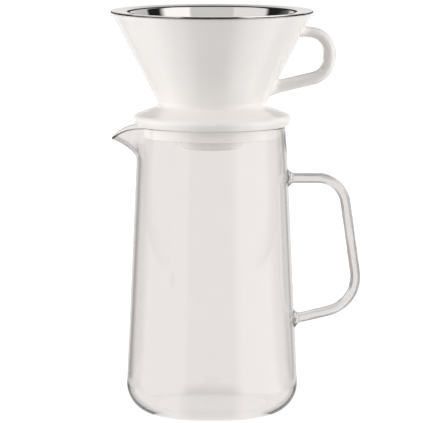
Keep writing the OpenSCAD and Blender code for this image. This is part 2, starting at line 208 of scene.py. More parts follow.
class StudioSettings(bpy.types.PropertyGroup):
    """Camera and light of the studio."""
    distance: length("Camera distance", "From the camera to the point it looks at", 2.5)
    elevation: angle("Camera elevation", "Height of the camera above the horizon", 6.57)
    aim: FloatVectorProperty(name="Aim", description="Point that the camera looks at", size=3,
                             default=(-0.0003, 0, 0.1217), subtype="TRANSLATION", unit="LENGTH")
    lens: FloatProperty(name="Lens", description="Focal length", default=354.6, unit="CAMERA")
    backdrop: level("Backdrop", "Light from the backdrop, as glass and steel see it", 0.85)
    left_box: level("Left softbox", "Light from the softbox on the left", 1.0)
    right_box: level("Right softbox", "Light from the softbox on the right", 1.3)
    right_foot: level("Right softbox foot", "Light from the low end of the right softbox", 1.9)
    overhead: level("Overhead", "Light from above the camera", 0.78)
    gap: level("Gap", "Light from the open side that the camera looks in from", 0.02)
    glass_shade: level("Shade through glass", "Light from the backdrop's left edge, through glass", 0.47)
    glass_line: level("Line through glass", "Light from the backdrop's right edge, through glass", 0.42)
    glass_steep: level("Steep through glass", "Light from steep directions behind, through glass", 0.43)
    left_shade: level("Left shade", "Light from between the left softbox and the backdrop", 0.3)
    right_shade: level("Right shade", "Light from the dark card beside the right softbox", 0.15)
    right_wall: level("Right wall", "Light from between the dark card and the backdrop", 0.7)
    ceiling: level("Ceiling", "Light from the dark ceiling", 0.02)
    zenith: level("Zenith", "Light from straight above", 0.3)
    left_lamp: power("Left lamp", "Power of the lamp on the left", 12)
    right_lamp: power("Right lamp", "Power of the lamp on the right", 8.4)
    top_lamp: power("Top lamp", "Power of the lamp above", 0.5)
    tint: colour("Light colour", "Colour of all the light", (1.0, 0.975, 0.96))


# Outlines

def leaning(radius, height, lean):
    """Radius of a conical wall at any z, from its radius at one height and its lean from upright."""
    def at(z):
        return radius + tan(lean) * (z - height)
    return at


def spread(a, b, step):
    """Evenly spaced points between a and b, without the two ends."""
    count = max(1, ceil((b - a).length / step))
    return [a.lerp(b, i / count) for i in range(1, count)]


def bend(before, here, after, radius):
    """Points of a round bend at a corner."""
    back = (before - here).normalized()
    ahead = (after - here).normalized()
    half = back.angle(ahead) / 2
    centre = here + (back + ahead).normalized() * (radius / sin(half))
    start = here + back * (radius / tan(half)) - centre
    end = here + ahead * (radius / tan(half)) - centre
    turn = start.angle(end)
    steps = max(2, ceil(turn / BEND_STEP))
    return [centre + start * (sin(turn * (1 - i / steps)) / sin(turn))
            + end * (sin(turn * i / steps) / sin(turn)) for i in range(steps + 1)]


def rounded(corners, step, closed):
    """Points along straight lines between (u, v, radius) corners, with a round bend at each corner."""
    spots = [Vector(corner[:2]) for corner in corners]
    last = len(corners) - 1
    bends = []
    for i, corner in enumerate(corners):
        radius = corner[2]
        if radius == 0 or (not closed and i in (0, last)):
            bends.append([spots[i]])
        else:
            bends.append(bend(spots[i - 1], spots[i], spots[(i + 1) % len(spots)], radius))
    points = []
    for i, here in enumerate(bends):
        points += here
        if closed or i < last:
            points += spread(here[-1], bends[(i + 1) % len(bends)][0], step)
    return points


# Meshes

def new_object(name, verts, faces, uvs):
    """Smooth-shaded object from vertices, faces and one UV pair for each face corner."""
    mesh = bpy.data.meshes.new(name)
    mesh.from_pydata(verts, [], faces)
    uv_map = mesh.uv_layers.new(name="UVMap")
    uv_map.data.foreach_set("uv", [value for pair in uvs for value in pair])
    shade_smooth(mesh)
    obj = bpy.data.objects.new(name, mesh)
    bpy.context.scene.collection.objects.link(obj)
    return obj


def shade_smooth(mesh):
    """Smooth shading that stays sharp at hard edges."""
    mesh.polygons.foreach_set("use_smooth", [True] * len(mesh.polygons))
    mesh.set_sharp_from_angle(angle=SHARP_ANGLE)


def unrolled(turn, r, z, run):
    """Plain UV place: the turn about the axis, and the run along the outline."""
    return (turn / (2 * pi), run)


def turned(name, section, place=unrolled):
    """Object turned about Z. section(turn) gives its outline there as (r, z) points, on the outer side
    from below upwards. The outline runs from pole to pole, or is closed."""
    turns = [2 * pi * c / COLUMNS for c in range(COLUMNS + 1)]
    outlines = [[tuple(point) for point in section(turn)] for turn in turns[:-1]]
    outlines.append(outlines[0])
    rows = len(outlines[0])
    closed = outlines[0][0][0] > POLE_R
    verts = []
    index = []
    for row in range(rows):
        ring = []
        for c in range(COLUMNS):
            r, z = outlines[c][row]
            if c == 0 or r > POLE_R:
                verts.append((r * cos(turns[c]), r * sin(turns[c]), z))
            ring.append(len(verts) - 1)
        index.append(ring + ring[:1])
    runs = [0]
    for row in range(rows):
        step = Vector(outlines[0][(row + 1) % rows]) - Vector(outlines[0][row])
        runs.append(runs[-1] + step.length)
    faces = []
    uvs = []
    for row in range(rows if closed else rows - 1):
        above = (row + 1) % rows
        for c in range(COLUMNS):
            corners = [(row, row, c), (row, row, c + 1), (above, row + 1, c + 1), (above, row + 1, c)]
            face = []
            for where, run_row, column in corners:
                vertex = index[where][column]
                if vertex in face:
                    continue
                face.append(vertex)
                r, z = outlines[column][where]
                uvs.append(place(turns[column], r, z, runs[run_row]))
            faces.append(face)
    return new_object(name, verts, faces, uvs)


def plain(points):
    """Section that is the same all the way round."""
    def section(turn):
        return points
    return section


def run_to_wall(spot, along, wall_r):
    """How far a spot moves along a direction to reach a turned wall."""
    run = 0
    for _ in range(WALL_STEPS):
        here = spot + along * run
        out = hypot(here.x, here.y)
        rate = (here.x * along.x + here.y * along.y) / out
        run += (wall_r(here.z) - out) / rate
    return run


def swept(name, path, outline, shape, wall_r, settle_l):
    """Bar along (x, z) points, both ends of it settled on a turned wall. shape(d, share) scales the
    outline's thickness and width, at a distance d from its nearer end and a share of the way along."""
    spots = [Vector((p[0], 0, p[1])) for p in path]
    runs = [0]
    for a, b in zip(spots, spots[1:]):
        runs.append(runs[-1] + (b - a).length)
    last = len(spots) - 1
    sideways = Vector((0, 1, 0))
    rings = []
    for i, spot in enumerate(spots):
        along = (spots[min(i + 1, last)] - spots[max(i - 1, 0)]).normalized()
        normal = along.cross(sideways)
        thick, wide = shape(min(runs[i], runs[last] - runs[i]), runs[i] / runs[last])
        rings.append([spot + normal * (p * thick) + sideways * (q * wide) for p, q in outline])
    ends = [(end, inward, (spots[end + inward] - spots[end]).normalized())
            for end, inward in ((0, 1), (last, -1))]
    for end, inward, along in ends:
        moves = [run_to_wall(v, along, wall_r) for v in rings[end]]
        i = end
        while abs(runs[i] - runs[end]) < settle_l:
            share = (1 - abs(runs[i] - runs[end]) / settle_l) ** 2
            rings[i] = [v + along * move * share for v, move in zip(rings[i], moves)]
            i += inward
    sides = len(outline)
    verts = [v for ring in rings for v in ring]
    faces = []
    uvs = []
    for i in range(last):
        for k in range(sides):
            corners = [(i, k), (i + 1, k), (i + 1, k + 1), (i, k + 1)]
            faces.append([row * sides + side % sides for row, side in corners])
            uvs += [(side / sides, runs[row]) for row, side in corners]
    for end, inward, along in ends:
        verts.append(spots[end] + along * run_to_wall(spots[end], along, wall_r))
        for k in range(sides):
            faces.append([len(verts) - 1, end * sides + (k + 1) % sides, end * sides + k][::-inward])
            uvs += [(0.5, runs[end]), ((k + 1) / sides, runs[end]), (k / sides, runs[end])][::-inward]
    return new_object(name, verts, faces, uvs)


def made_once(finish):
    """Material that a function makes and names after itself, made when it is first needed."""
    return bpy.data.materials.get(finish.__name__) or finish()


def dress(obj, body, slot, finish, *nodes):
    """Give a piece its finish, its body and the nodes that it stands for."""
    obj.data.materials.clear()
    obj.data.materials.append(made_once(finish))
    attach(obj, body)
    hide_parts(*nodes)


# Nodes

def blank_tree(owner):
    """Empty node tree of a material or a world."""
    owner.use_nodes = True
    owner.node_tree.nodes.clear()
    return owner.node_tree


def feed(tree, node, inputs):
    """Set a node's inputs to values, or link them to the results of other nodes."""
    for name, value in inputs.items():
        if isinstance(value, bpy.types.NodeSocket):
            tree.links.new(value, node.inputs[name])
        else:
            node.inputs[name].default_value = value


def add(tree, kind, inputs=None, **settings):
    """New node with its settings and its inputs."""
    node = tree.nodes.new(kind)
    for name, value in settings.items():
        setattr(node, name, value)
    feed(tree, node, inputs or {})
    return node


def made(tree, kind, inputs=None, **settings):
    """First result of a new node."""
    return add(tree, kind, inputs, **settings).outputs[0]


def calc(tree, operation, *values):
    """Result of a math node."""
    return made(tree, "ShaderNodeMath", dict(enumerate(values)), operation=operation)


def vector(tree, **axes):
    """Vector from its X, Y and Z."""
    return made(tree, "ShaderNodeCombineXYZ", axes)


def axes_of(tree, place):
    """X, Y and Z of a vector."""
    return add(tree, "ShaderNodeSeparateXYZ", {0: place}).outputs


def distance(tree, place, weights=None):
    """Distance of a place from the origin, with its axes weighed first where weights are given."""
    if weights:
        place = made(tree, "ShaderNodeVectorMath", {0: place, 1: weights}, operation="MULTIPLY")
    return add(tree, "ShaderNodeVectorMath", {0: place}, operation="LENGTH").outputs["Value"]


def stretched(tree, place, scale):
    """Place with each axis scaled, which draws a pattern out or in."""
    return made(tree, "ShaderNodeMapping", {"Vector": place, "Scale": scale})


def ramp(tree, factor, stops):
    """Level at a factor, along a colour ramp through (position, grey level) stops."""
    node = add(tree, "ShaderNodeValToRGB", {"Fac": factor})
    band = node.color_ramp
    while len(band.elements) < len(stops):
        band.elements.new(1)
    for element, (position, grey) in zip(band.elements, stops):
        element.position = position
        element.color = (grey, grey, grey, 1)
    return node.outputs["Color"]


def rising(tree, factor, start, end):
    """Level that rises from 0 to 1 while a factor goes from start to end."""
    return ramp(tree, factor, [(start, 0), (end, 1)])


def noise(tree, place, scale, detail=2):
    """Result of a noise texture, around 0.5."""
    return made(tree, "ShaderNodeTexNoise", {"Vector": place, "Scale": scale, "Detail": detail})


def between(tree, factor, low, high):
    """A factor from 0 to 1 turned into a value from low to high."""
    return made(tree, "ShaderNodeMapRange", {"Value": factor, "To Min": low, "To Max": high})


def mixed(tree, factor, a, b):
    """Mix of two values."""
    return made(tree, "ShaderNodeMix", {0: factor, 2: a, 3: b})


def blended(tree, factor, a, b):
    """Mix of two colours."""
    inputs = {0: factor}
    for socket, value in ((6, a), (7, b)):
        inputs[socket] = value if isinstance(value, bpy.types.NodeSocket) else (*value, 1)
    return add(tree, "ShaderNodeMix", inputs, data_type="RGBA").outputs[2]


def bump(tree, height, depth, strength=1, under=None):
    """Normal from a height, on top of another normal where one is given."""
    inputs = {"Height": height, "Distance": depth, "Strength": strength}
    if under:
        inputs["Normal"] = under
    return made(tree, "ShaderNodeBump", inputs)


def shaded(tint, factor):
    """Colour made darker or paler by a factor."""
    return tuple(min(1, value * factor) for value in tint)


# Materials

# A scale on object coordinates counts waves in a metre, a bump is a depth and a strength, and a
# roughness is its least and its most.
# Clear glass: its paler clouds, and the waves of a blown wall
CLEAR = {"Transmission Weight": 1, "Roughness": 0, "IOR": 1.474}
GLASS_PALE = 1.02
GLASS_CLOUDS = 60
WAVE_SCALE = 26
WAVE_BUMP = (0.0002, 0.2)
# Drawn glass: how fast its lines change along the rod, their scale round it and their depth
DRAW_RATE = 9
DRAW_SCALE = 2.2
DRAW_DEPTH = 0.0006
# Porcelain: warmer clouds, specks and ripples of the glaze, and the bare seat, which reaches this far
# above and below the height of the carafe's rim
PORCELAIN_IOR = 1.5
GLAZE_WARM = 0.985
GLAZE_CLOUDS = 45
GLAZE_ROUGH = (0.1, 0.2)
SPECK_SCALE = 900
SPECK_DETAIL = 4
SPECK_BUMP = (0.0001, 0.12)
RIPPLE_SCALE = 70
RIPPLE_BUMP = (0.0006, 0.25)
BARE_HALF = 0.0007
BARE_ROUGH = 0.6
# Steel sheet: lines of buffing and of drawing, each with the scale along its three axes
LINE_DETAIL = 3
BUFF_LINES = (6, 9000, 1)
BUFF_BUMP = (0.00002, 0.1)
BUFF_ROUGH = (0.02, 0.06)
BUFF_DULL = 0.94
SMEAR_SCALE = 90
SATIN_LINES = (60, 60, 5000)
SATIN_BUMP = (0.00004, 0.3)
SATIN_ROUGH = (0.24, 0.42)
SATIN_DULL = 0.86
# Painted shade on the rim, a dull black ring outside the bend in place of a groove's shadow: weights that
# leave height out of a distance, how far outside the bend the ring's middle lies, and its half width
LEVEL = (1, 1, 0)
PAINTED_SHADE_OUT = 0.0008
PAINTED_SHADE_HALF = 0.0009
PAINTED_SHADE_COLOUR = (0.02, 0.02, 0.02)
PAINTED_SHADE_ROUGH = 1
# Woven wire: its depth as a share of the pitch, the painted shade of its hollows and the power that
# narrows them
WIRE_DEPTH = 0.25
WIRE_STRENGTH = 0.8
PAINTED_HOLLOW_SHADE = 0.12
WIRE_NARROW = 0.7
WIRE_CLOUDS = 0.2
WIRE_ROUGH = (0.3, 0.45)


def new_material(name):
    """Material with a Principled shader, its node tree and its coordinates."""
    material = bpy.data.materials.new(name)
    tree = blank_tree(material)
    shader = add(tree, "ShaderNodeBsdfPrincipled")
    add(tree, "ShaderNodeOutputMaterial", {"Surface": shader.outputs[0]})
    where = add(tree, "ShaderNodeTexCoord").outputs
    return material, tree, shader, where


def clear_glass():
    """Clear glass with the faint waves of a blown wall."""
    material, tree, shader, where = new_material("clear_glass")
    tint = bpy.context.scene.brewer_colours.glass
    waves = noise(tree, where["Object"], WAVE_SCALE)
    clouds = noise(tree, where["Object"], GLASS_CLOUDS)
    feed(tree, shader, {"Base Color": blended(tree, clouds, tint, shaded(tint, GLASS_PALE)),
                        "Normal": bump(tree, waves, *WAVE_BUMP), **CLEAR})
    return material


def drawn_glass():
    """Clear glass of the solid rod, with the fine lengthwise lines of a drawn bar."""
    material, tree, shader, where = new_material("drawn_glass")
    tint = bpy.context.scene.brewer_colours.rod
    flat = axes_of(tree, where["UV"])
    turn = calc(tree, "MULTIPLY", flat["X"], 2 * pi)
    around = vector(tree, X=calc(tree, "COSINE", turn), Y=calc(tree, "SINE", turn),
                    Z=calc(tree, "MULTIPLY", flat["Y"], DRAW_RATE))
    lines = noise(tree, around, DRAW_SCALE)
    feed(tree, shader, {"Base Color": blended(tree, lines, tint, shaded(tint, GLASS_PALE)),
                        "Normal": bump(tree, lines, DRAW_DEPTH), **CLEAR})
    return material


def glazed_porcelain():
    """White porcelain under a clear glaze, bare where it stands on the carafe's rim."""
    material, tree, shader, where = new_material("glazed_porcelain")
    colours = bpy.context.scene.brewer_colours
    place = where["Object"]
    speck = noise(tree, place, SPECK_SCALE, SPECK_DETAIL)
    above = calc(tree, "SUBTRACT", axes_of(tree, place)["Z"], top_of("carafe_vessel"))
    bare = calc(tree, "LESS_THAN", calc(tree, "ABSOLUTE", above), BARE_HALF)
    glaze = blended(tree, noise(tree, place, GLAZE_CLOUDS), colours.porcelain,
                    shaded(colours.porcelain, GLAZE_WARM))
    ripple = bump(tree, noise(tree, place, RIPPLE_SCALE), *RIPPLE_BUMP)
    feed(tree, shader, {
        "Base Color": blended(tree, bare, glaze, colours.biscuit),
        "Roughness": mixed(tree, bare, between(tree, speck, *GLAZE_ROUGH), BARE_ROUGH),
        "Normal": bump(tree, speck, *SPECK_BUMP, ripple),
        "IOR": PORCELAIN_IOR,
    })
    return material


def buffed_steel():
    """Mirror-polished steel with faint buffing lines round it, and a dull dark ring of painted shade
    outside the bend.
    """
    material, tree, shader, where = new_material("buffed_steel")
    base = bpy.context.scene.brewer_colours.polished
    lines = noise(tree, stretched(tree, where["UV"], BUFF_LINES), 1, LINE_DETAIL)
    smear = noise(tree, where["Object"], SMEAR_SCALE)
    bend_r = rim_corner(top_of("filter_rim"), bpy.context.scene.brewer_filter.rim_sheet)[0]
    # Painted shade: a dull black ring just outside the flange's bend, in place of a groove's shadow
    radius = distance(tree, where["Object"], LEVEL)
    off = calc(tree, "SUBTRACT", radius, bend_r + PAINTED_SHADE_OUT)
    painted_shade = calc(tree, "LESS_THAN", calc(tree, "ABSOLUTE", off), PAINTED_SHADE_HALF)
    sheen = blended(tree, smear, base, shaded(base, BUFF_DULL))
    feed(tree, shader, {
        "Base Color": blended(tree, painted_shade, sheen, PAINTED_SHADE_COLOUR),
        "Roughness": mixed(tree, painted_shade, between(tree, lines, *BUFF_ROUGH), PAINTED_SHADE_ROUGH),
        "Normal": bump(tree, lines, *BUFF_BUMP),
        "Metallic": calc(tree, "SUBTRACT", 1, painted_shade),
    })
    return material


def satin_steel():
    """Satin steel sheet with lines drawn round it."""
    material, tree, shader, where = new_material("satin_steel")
    base = bpy.context.scene.brewer_colours.satin
    lines = noise(tree, stretched(tree, where["Object"], SATIN_LINES), 1, LINE_DETAIL)
    feed(tree, shader, {
        "Base Color": blended(tree, lines, base, shaded(base, SATIN_DULL)),
        "Roughness": between(tree, lines, *SATIN_ROUGH),
        "Normal": bump(tree, lines, *SATIN_BUMP),
        "Metallic": 1,
    })
    return material


def woven_wire():
    """Plain weave of fine steel wire, laid out flat in the UV map and rolled up with it."""
    material, tree, shader, where = new_material("woven_wire")
    pitch = bpy.context.scene.brewer_filter.weave
    base = bpy.context.scene.brewer_colours.wire
    flat = stretched(tree, where["UV"], (1 / pitch, 1 / pitch, 1))
    cell = axes_of(tree, flat)
    humps = [calc(tree, "ABSOLUTE", calc(tree, "SINE", calc(tree, "MULTIPLY", cell[axis], pi)))
             for axis in ("X", "Y")]
    over = add(tree, "ShaderNodeTexChecker", {"Vector": flat, "Scale": 1}).outputs["Fac"]
    wires = mixed(tree, over, *humps)
    # Painted shade: the hollows between the wires are darkened to a small share of the wire's colour
    raised = calc(tree, "POWER", wires, WIRE_NARROW)
    feed(tree, shader, {
        "Base Color": blended(tree, raised, shaded(base, PAINTED_HOLLOW_SHADE), base),
        "Roughness": between(tree, noise(tree, flat, WIRE_CLOUDS), *WIRE_ROUGH),
        "Normal": bump(tree, wires, pitch * WIRE_DEPTH, WIRE_STRENGTH),
        "Metallic": 1,
    })
    return material


# Carafe

# Powers of the pulled lip's curl and dip, and the height over which the wall thins to its rim
LIP_CURL = 2
LIP_DIP = 2.7
LIP_L = 0.016
# How finely the lip, the rim and the outlines are drawn
LIP_ROWS = 26
LIP_ROW_BIAS = 1.35
CAP_STEPS = 14
RING_STEP = 0.003
BAR_STEP = 0.0004
# Power with which a handle's ends spread
FLARE_POWER = 2.2


def carafe_taper(size):
    """How much the radius of the tapered wall shrinks for each metre of height."""
    return (size.base_d - size.mouth_d) / 2 / size.height


def carafe_wall(size):
    """Outer radius of the tapered wall at any z."""
    return leaning(size.base_d / 2, 0, -atan(carafe_taper(size)))


def vessel_outline(size, inset, floor_z, corner, top_z):
    """Points of one face of the vessel: floor, rounded corner and wall up to top_z."""
    wall_r = carafe_wall(size)
    aside = inset / cos(atan(carafe_taper(size)))
    return rounded([(0, floor_z, 0), (wall_r(floor_z) - aside, floor_z, corner),
                    (wall_r(top_z) - aside, top_z, 0)], RING_STEP, False)


def eased(share):
    """Share from 0 to 1 that starts and ends gently."""
    return share * share * (3 - 2 * share)


def carafe_section(size):
    """Outline of the vessel at each turn, with the lip pulled out on the -X side."""
    wall_r = carafe_wall(size)
    taper = carafe_taper(size)
    half_wall = size.wall / 2
    bead_r = size.lip / 2
    bead_z = size.height - bead_r
    lip_z = size.height - size.spout_depth
    outer = vessel_outline(size, 0, 0, size.corner, lip_z)
    inner = vessel_outline(size, size.wall, size.floor, size.corner - size.wall, lip_z)

    def section(turn):
        off = abs(turn - pi)
        pull = cos(pi * off / size.spout_spread) ** 2 if off < size.spout_spread / 2 else 0
        top = bead_z - size.spout_drop * pull ** LIP_DIP

        def middle(z):
            share = (z - lip_z) / (top - lip_z)
            return wall_r(z) - half_wall / cos(atan(taper)) + size.spout_reach * pull * share ** LIP_CURL

        def along(z):
            share = (z - lip_z) / (top - lip_z)
            rate = size.spout_reach * pull * LIP_CURL * share ** (LIP_CURL - 1) / (top - lip_z)
            return Vector((rate - taper, 1)).normalized()

        def face(side):
            points = []
            for i in range(1, LIP_ROWS + 1):
                z = lip_z + (top - lip_z) * (1 - (1 - i / LIP_ROWS) ** LIP_ROW_BIAS)
                near = max(0, 1 - (top - z) / LIP_L)
                thick = half_wall + (bead_r - half_wall) * eased(near)
                up = along(z)
                points.append(Vector((middle(z), z)) + side * thick * Vector((up.y, -up.x)))
            return points

        up = along(top)
        out = Vector((up.y, -up.x))
        crest = Vector((middle(top), top))
        cap = [crest + bead_r * (out * cos(pi * i / CAP_STEPS) + up * sin(pi * i / CAP_STEPS))
               for i in range(1, CAP_STEPS)]
        return outer + face(1) + cap + face(-1)[::-1] + inner[::-1]
    return section


def let_light_through(obj):
    """Keep clear glass from shading the pieces that stand in it."""
    obj.visible_shadow = False
    obj.visible_diffuse = False


class BREWER_OT_carafe(bpy.types.Operator):
    """Blow the glass carafe, with its floor, its fire-polished rim and its pulled spout"""
    bl_idname = "brewer.carafe"
    bl_label = "Glass carafe"

    def execute(self, context):
        obj = turned("glass_carafe", carafe_section(context.scene.brewer_carafe))
        let_light_through(obj)
        dress(obj, "carafe", "glass", clear_glass, "carafe_vessel")
        return {"FINISHED"}


class BREWER_OT_rod(bpy.types.Operator):
    """Bend the glass rod and fuse its two flared ends to the carafe's wall"""
    bl_idname = "brewer.rod"
    bl_label = "Carafe handle"

    def execute(self, context):
        size = context.scene.brewer_rod
        wall_r = carafe_wall(context.scene.brewer_carafe)
        upper_z = context.scene.brewer_carafe.height - size.upper_drop
        corner_z = size.lower_z + size.lower_rise
        path = rounded([(wall_r(upper_z), upper_z, 0),
                        (wall_r(upper_z) + size.upper_reach, upper_z, size.upper_bend),
                        (wall_r(corner_z) + size.lower_reach, corner_z, size.lower_bend),
                        (wall_r(size.lower_z), size.lower_z, 0)], BAR_STEP, False)
        rod_r = size.rod_d / 2
        ring = [(rod_r * cos(2 * pi * k / BAR_SIDES), rod_r * sin(2 * pi * k / BAR_SIDES))
                for k in range(BAR_SIDES)]

        def flare(d, share):
            wider = 1 + (size.flare_d / size.rod_d - 1) * max(0, 1 - d / size.flare_l) ** FLARE_POWER
            return wider, wider

        def fused(z):
            return wall_r(z) + JOINT_GAP
        obj = swept("glass_handle", path, ring, flare, fused, 2 * size.flare_l)
        let_light_through(obj)
        dress(obj, "carafe", "glass", drawn_glass, "carafe_handle")
        return {"FINISHED"}


# Dripper

# How finely the saucer's curves are drawn
SHOULDER_STEPS = 14
FILLET_STEPS = 20
# Radius of the small edges, and of the corner between the cone's floor and its wall
SOFT_EDGE = 0.0008
FLOOR_ROUND = 0.003
# Strap: squareness of its section, spread and depth of its luted ends, and power of its thinning
STRAP_ROUND = 2.6
ROOT_SPREAD = 0.3
LUTE_DEPTH = 0.0004
THIN_POWER = 3


def dripper_wall(size):
    """Outer radius of the porcelain cone at any z."""
    edge_z = top_of("dripper_cone") - size.edge
    return leaning(size.rim_d / 2 - size.edge + size.edge / cos(size.lean), edge_z, size.lean)


def across(thick):
    """Level width of a wall of some thickness that leans as the dripper's cone does."""
    return thick / cos(bpy.context.scene.brewer_dripper.lean)


class BREWER_OT_cone(bpy.types.Operator):
    """Turn the porcelain cone with its rim, its foot and its drain"""
    bl_idname = "brewer.cone"
    bl_label = "Dripper cone"

    def execute(self, context):
        size = context.scene.brewer_dripper
        outer_r = dripper_wall(size)
        width = across(size.wall)
        top = top_of("dripper_cone")
        foot_z = foot_of("dripper_cone")
        drain_r = size.drain_d / 2
        drain_z = foot_z + size.floor
        fall = tan(size.floor_fall)
        meet_r = (outer_r(drain_z - fall * drain_r) - width) / (1 - tan(size.lean) * fall)
        outline = rounded([(drain_r, foot_z, SOFT_EDGE), (outer_r(foot_z), foot_z, size.foot_edge),
                           (outer_r(top), top, size.edge), (outer_r(top) - width, top, size.edge),
                           (meet_r, drain_z + fall * (meet_r - drain_r), FLOOR_ROUND),
                           (drain_r, drain_z, SOFT_EDGE)], RING_STEP, True)
        obj = turned("porcelain_cone", plain(outline))
        dress(obj, "dripper", "porcelain", glazed_porcelain, "dripper_cone")
        return {"FINISHED"}


class BREWER_OT_saucer(bpy.types.Operator):
    """Turn the domed saucer with the skirt that centres it in the carafe's mouth"""
    bl_idname = "brewer.saucer"
    bl_label = "Dripper saucer"

    def execute(self, context):
        size = context.scene.brewer_dripper
        outer_r = dripper_wall(size)
        foot_z = foot_of("dripper_saucer")
        seat_z = top_of("carafe_vessel") + size.seat_gap
        neck_z = seat_z + size.neck_h
        neck_r = outer_r(neck_z)
        rim_r = radius_of("dripper_saucer")
        skirt_in_r = size.skirt_r - size.skirt_wall
        web_z = neck_z - size.web

        middle = Vector((rim_r - size.shoulder, seat_z + size.edge_h))
        away = Vector((neck_r, neck_z)) - middle
        end_turn = atan2(away.y, away.x) - acos(size.shoulder / away.length)

        def top_z(r):
            return neck_z - (r - neck_r) / tan(end_turn)

        shoulder = []
        for i in range(SHOULDER_STEPS + 1):
            turn = end_turn * i / SHOULDER_STEPS
            point = middle + size.shoulder * Vector((cos(turn), sin(turn)))
            shoulder.append((*point, 0))
        fillet_r = neck_r + size.fillet
        fillet_z = neck_z + size.fillet
        start = Vector((fillet_r, top_z(fillet_r)))
        hold = Vector((neck_r + JOINT_GAP, neck_z))
        end = Vector((outer_r(fillet_z) + JOINT_GAP, fillet_z))
        fillet = []
        for i in range(FILLET_STEPS + 1):
            t = i / FILLET_STEPS
            point = start * (1 - t) ** 2 + hold * (2 * t * (1 - t)) + end * t ** 2
            fillet.append((*point, 0))
        outline = rounded([(skirt_in_r, foot_z, SOFT_EDGE), (size.skirt_r, foot_z, SOFT_EDGE),
                           (size.skirt_r, seat_z, 0), (rim_r - size.tuck, seat_z, SOFT_EDGE),
                           *shoulder, *fillet,
                           (outer_r(web_z) + JOINT_GAP, web_z, 0),
                           (skirt_in_r, top_z(skirt_in_r) - size.web, SOFT_EDGE)], RING_STEP, True)
        obj = turned("porcelain_saucer", plain(outline))
        dress(obj, "dripper", "porcelain", glazed_porcelain, "dripper_saucer")
        return {"FINISHED"}


class BREWER_OT_strap(bpy.types.Operator):
    """Bend the porcelain strap and lute its two ends to the cone"""
    bl_idname = "brewer.strap"
    bl_label = "Dripper handle"

    def execute(self, context):
        size = context.scene.brewer_strap
        cone_r = dripper_wall(context.scene.brewer_dripper)
        slope = tan(context.scene.brewer_dripper.lean)
        upper_z = top_of("dripper_cone") - size.drop
        lower_z = upper_z - size.span
        strap_x = cone_r(upper_z) + size.reach
        upper_run = size.reach / (1 + slope * tan(size.upper_fall))
        lower_run = (strap_x - cone_r(lower_z)) / (1 - slope * tan(size.lower_rise))
        path = rounded([(strap_x - upper_run, upper_z + upper_run * tan(size.upper_fall), 0),
                        (strap_x, upper_z, size.upper_bend), (strap_x, lower_z, size.lower_bend),
                        (strap_x - lower_run, lower_z - lower_run * tan(size.lower_rise), 0)],
                       BAR_STEP, False)

        def blunt(value, half):
            return half * (1 if value > 0 else -1) * abs(value) ** (2 / STRAP_ROUND)
        turns = [2 * pi * (k + 0.5) / BAR_SIDES for k in range(BAR_SIDES)]
        outline = [(blunt(cos(a), size.thick / 2), blunt(sin(a), size.wide / 2)) for a in turns]

        def root(d, share):
            wider = 1 + ROOT_SPREAD * max(0, 1 - d / size.root_l) ** FLARE_POWER
            return wider * (1 - size.thin * (1 - share) ** THIN_POWER), wider

        def luted(z):
            return cone_r(z) - LUTE_DEPTH
        obj = swept("porcelain_handle", path, outline, root, luted, 2 * size.root_l)
        dress(obj, "dripper", "porcelain", glazed_porcelain, "dripper_handle")
        return {"FINISHED"}


# Filter

# Distance between the rings of a drawn sheet
SHEET_STEP = 0.004
# Radius of the rim's edges, and of the cup's edges as a share of its sheet
FLANGE_EDGE = 0.0001
EDGE_SHARE = 0.45
# Radius at which the flange's flat part turns down into its dish
DISH_ROUND = 0.012
# Points in each corner of a slot, and the corners' radius as a share of the slot's width
SLOT_POINTS = 5
SLOT_ROUND = 0.49
SLOT_SIZES = ("Low height", "Low radius", "Slope", "Slot width", "Slot height", "Pitch", "Band",
              "Cut depth")


def layer(node):
    """Outer radius of a conical layer of the filter at any z."""
    return leaning(radius_of(node), top_of(node), bpy.context.scene.brewer_dripper.lean)


def sheet_outline(node, thick):
    """Closed outline of a conical sheet that fills a node."""
    outer_r = layer(node)
    low = foot_of(node)
    high = top_of(node)
    return rounded([(outer_r(low) - across(thick), low, 0), (outer_r(low), low, 0),
                    (outer_r(high), high, 0), (outer_r(high) - across(thick), high, 0)],
                   SHEET_STEP, True)


def rim_corner(z, sheet):
    """Where the flange's falling part meets the collar, on the face whose flat part is at z and
    which is a sheet's thickness in from the mesh."""
    size = bpy.context.scene.brewer_filter
    flat_r = radius_of("filter_rim") - size.flat
    fall = tan(size.dish)
    collar_r = layer("filter_mesh")(z - fall * flat_r) - across(size.mesh_t + JOINT_GAP + sheet)
    r = collar_r / (1 - tan(bpy.context.scene.brewer_dripper.lean) * fall)
    return r, z - fall * (flat_r - r)


class BREWER_OT_rim(bpy.types.Operator):
    """Press the polished flange with its conical collar"""
    bl_idname = "brewer.rim"
    bl_label = "Filter rim"

    def execute(self, context):
        size = context.scene.brewer_filter
        top = top_of("filter_rim")
        low = foot_of("filter_rim")
        under = top - size.rim_sheet
        collar_r = layer("filter_mesh")(low) - across(size.mesh_t + JOINT_GAP)
        flange_r = radius_of("filter_rim")
        flat_r = flange_r - size.flat
        hem_r = flange_r - size.hem
        hem_z = under - size.hem
        outline = rounded([(collar_r - across(size.rim_sheet), low, FLANGE_EDGE),
                           (collar_r, low, FLANGE_EDGE),
                           (*rim_corner(under, 0), size.rim_bend), (flat_r, under, DISH_ROUND),
                           (hem_r, under, 0), (hem_r, hem_z, FLANGE_EDGE),
                           (flange_r, hem_z, FLANGE_EDGE), (flange_r, top, FLANGE_EDGE),
                           (flat_r, top, DISH_ROUND),
                           (*rim_corner(top, size.rim_sheet), size.rim_bend + size.rim_sheet)],
                          RING_STEP, True)
        obj = turned("steel_rim", plain(outline))
        dress(obj, "filter", "polished_steel", buffed_steel, "filter_rim")
        return {"FINISHED"}


